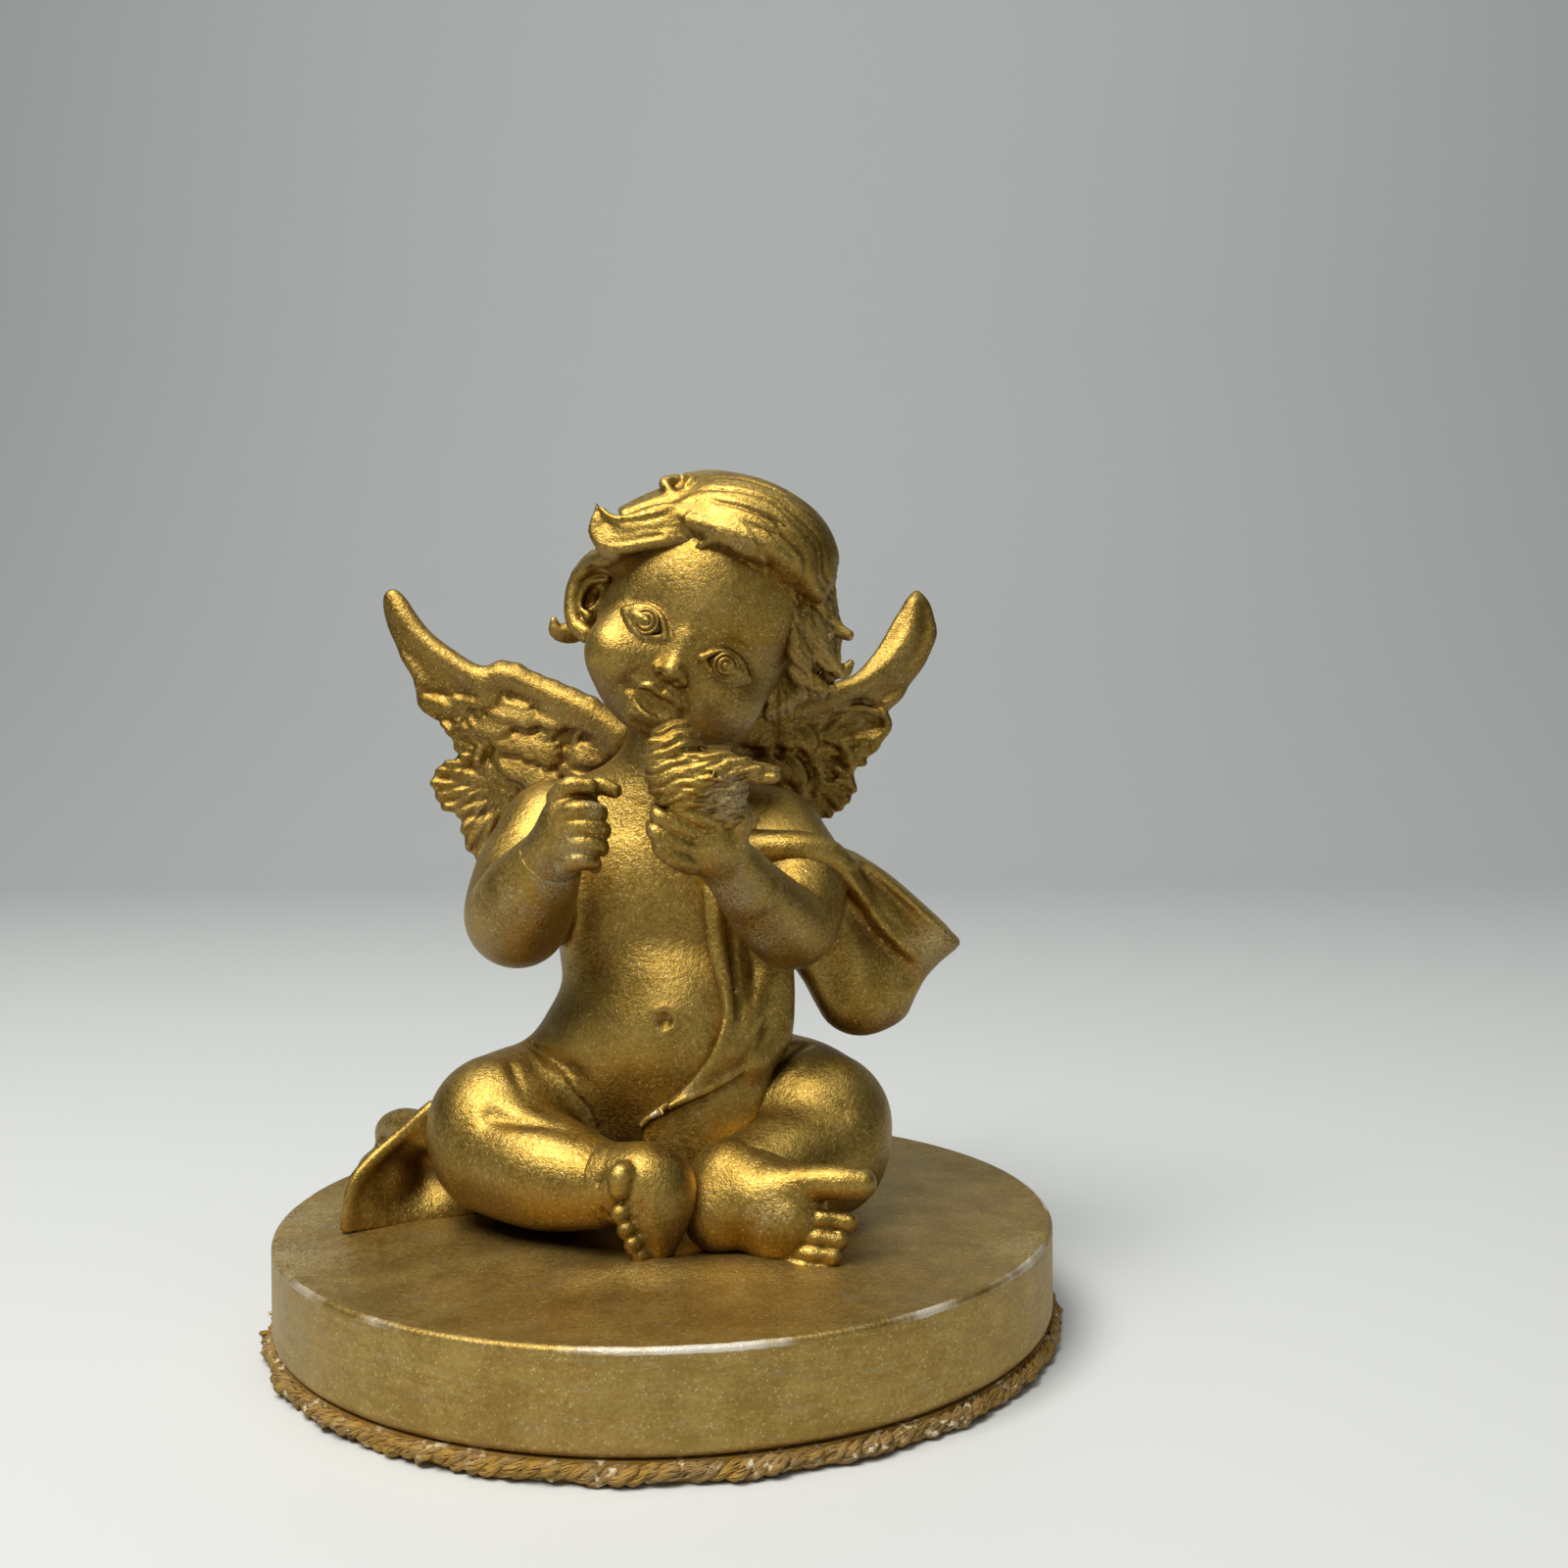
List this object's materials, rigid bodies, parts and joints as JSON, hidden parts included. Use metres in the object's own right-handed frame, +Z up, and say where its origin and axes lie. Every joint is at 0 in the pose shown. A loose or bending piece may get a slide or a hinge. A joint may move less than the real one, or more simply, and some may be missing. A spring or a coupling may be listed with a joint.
{
  "type": "figurine",
  "caption": "Seated cherub with half-spread wings and a small bird in its hands, cast in gold-painted resin on a round plinth with a frayed woven pad underneath",
  "frame": {"origin": "centre of the underside of the pad, on the surface the figurine stands on", "axes": "+Z up, the figure faces -Y, +X is the figure's left"},
  "size_m": [0.0686, 0.0656, 0.0727],
  "materials": {
    "gold_resin": "satin metallic gold paint on cast resin, darker amber in the recesses, rubbed pale on the edges",
    "gold_plinth": "fine-grained gold paint with a rubbed pale line at the top rim",
    "woven_jute": "coarse twisted jute sprayed gold, frayed at the cut edge"
  },
  "bodies": {
    "root": {"base_pad": "woven_jute", "pad_threads": "woven_jute", "base_disc": "gold_plinth", "torso": "gold_resin", "head": "gold_resin", "hair": "gold_resin", "right_arm": "gold_resin", "left_arm": "gold_resin", "right_hand": "gold_resin", "left_hand": "gold_resin", "bird": "gold_resin", "right_leg": "gold_resin", "left_leg": "gold_resin", "right_foot": "gold_resin", "left_foot": "gold_resin", "right_wing": "gold_resin", "left_wing": "gold_resin", "lap_drape": "gold_resin", "arm_drape": "gold_resin", "seat_drape": "gold_resin"}
  },
  "joints": []
}
